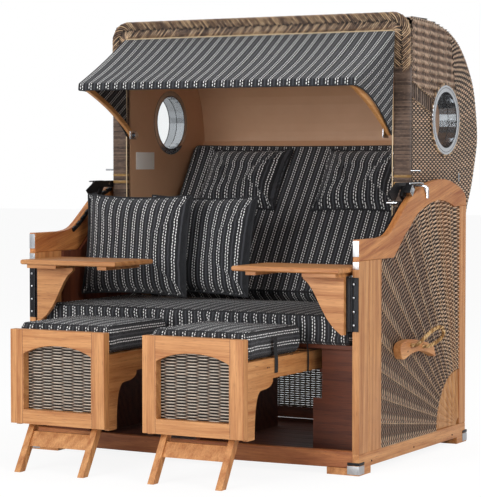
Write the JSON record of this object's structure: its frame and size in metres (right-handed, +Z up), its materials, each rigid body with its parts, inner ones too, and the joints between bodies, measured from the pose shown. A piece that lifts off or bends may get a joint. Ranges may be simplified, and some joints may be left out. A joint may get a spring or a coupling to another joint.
{
  "type": "hooded beach chair",
  "caption": "Wicker beach chair with a reclining hood, a folding awning, swinging side tables and pull-out footrests on folding legs.",
  "frame": {"origin": "on the ground under the middle of the whole chair's outline, with the footrests pulled out", "axes": "+X to the right as seen from the front, +Y from the footrests to the back of the hood, +Z up"},
  "size_m": [1.5264, 1.6984, 1.656],
  "materials": {
    "wood": "oiled hardwood",
    "wicker": "woven synthetic cane",
    "cloth": "striped woven cloth",
    "leatherette": "matt grained leatherette",
    "steel": "polished stainless",
    "black_steel": "black coated",
    "rope": "twisted fibre",
    "glass": "clear"
  },
  "bodies": {
    "base": {"bottom_rail_right": "wood", "bottom_rail_left": "wood", "front_post_right": "wood", "front_post_left": "wood", "rear_post_right": "wood", "rear_post_left": "wood", "arm_rail_right": "wood", "arm_rail_left": "wood", "side_wicker_right": "wicker", "side_wicker_left": "wicker", "corner_fan_right": "wood", "corner_fan_left": "wood", "side_board_right": "leatherette", "side_board_left": "leatherette", "front_plinth": "wood", "seat_carcass": "wood", "rear_panel": "wicker", "seat_cushion": "cloth", "throw_pillow_front": "cloth", "throw_pillow_rear": "cloth", "adjustment_rail_right": "black_steel", "adjustment_rail_left": "black_steel", "handle_block_right": "wood", "handle_block_left": "wood", "handle_rope_right": "rope", "handle_rope_left": "rope", "table_post_leaf_right": "black_steel", "table_post_leaf_left": "black_steel"},
    "hood": {"hood_side_right": "wicker", "hood_side_left": "wicker", "hood_shell": "wicker", "hood_edge": "wicker", "hood_lining": "leatherette", "window_ring_right": "steel", "window_ring_left": "steel", "window_pane_right": "glass", "window_pane_left": "glass", "back_cushion": "cloth", "head_pillow_right": "cloth", "head_pillow_left": "cloth", "latch_plate_right": "black_steel", "latch_plate_left": "black_steel"},
    "awning": {"awning_frame": "wood", "awning_cloth": "cloth"},
    "table_right": {"table_right": "wood", "table_leaf_right": "black_steel"},
    "footrest_right": {"footrest_panel_right": "wood", "footrest_wicker_right": "wicker", "footrest_box_right": "wood", "footrest_cushion_right": "cloth"},
    "footrest_legs_right": {"footrest_legs_right": "wood"},
    "latch_handle_right": {"latch_handle_right": "steel"},
    "table_left": {"table_left": "wood", "table_leaf_left": "black_steel"},
    "footrest_left": {"footrest_panel_left": "wood", "footrest_wicker_left": "wicker", "footrest_box_left": "wood", "footrest_cushion_left": "cloth"},
    "footrest_legs_left": {"footrest_legs_left": "wood"},
    "latch_handle_left": {"latch_handle_left": "steel"}
  },
  "joints": [
    {"name": "hood_recline", "type": "hinge", "parent": "base", "child": "hood", "pos_m": [0, 0.42607, 0.45], "axis": [-1, 0, 0], "range_deg": [0, 45]},
    {"name": "awning_fold", "type": "hinge", "parent": "hood", "child": "awning", "pos_m": [0, 0.18107, 1.205], "axis": [-1, 0, 0], "range_deg": [0, 55], "deforming": ["awning_cloth"]},
    {"name": "footrest_slide_right", "type": "slide", "parent": "base", "child": "footrest_right", "axis": [0, 1, 0], "range_m": [0, 0.38], "deforming": ["footrest_cushion_right"]},
    {"name": "footrest_leg_fold_right", "type": "hinge", "parent": "footrest_right", "child": "footrest_legs_right", "pos_m": [0.276, -0.72593, 0.18], "axis": [1, 0, 0], "range_deg": [0, 110]},
    {"name": "table_swing_right", "type": "hinge", "parent": "base", "child": "table_right", "pos_m": [0.6684, -0.35923, 0.601], "axis": [0, 0, 1], "range_deg": [0, 90]},
    {"name": "latch_turn_right", "type": "hinge", "parent": "hood", "child": "latch_handle_right", "pos_m": [0.7, 0.14607, 1.01], "axis": [1, 0, 0], "range_deg": [0, 90]},
    {"name": "footrest_slide_left", "type": "slide", "parent": "base", "child": "footrest_left", "axis": [0, 1, 0], "range_m": [0, 0.38], "deforming": ["footrest_cushion_left"]},
    {"name": "footrest_leg_fold_left", "type": "hinge", "parent": "footrest_left", "child": "footrest_legs_left", "pos_m": [-0.276, -0.72593, 0.18], "axis": [1, 0, 0], "range_deg": [0, 110]},
    {"name": "table_swing_left", "type": "hinge", "parent": "base", "child": "table_left", "pos_m": [-0.6684, -0.35923, 0.601], "axis": [0, 0, -1], "range_deg": [0, 90]},
    {"name": "latch_turn_left", "type": "hinge", "parent": "hood", "child": "latch_handle_left", "pos_m": [-0.7, 0.14607, 1.01], "axis": [1, 0, 0], "range_deg": [0, 90]}
  ]
}
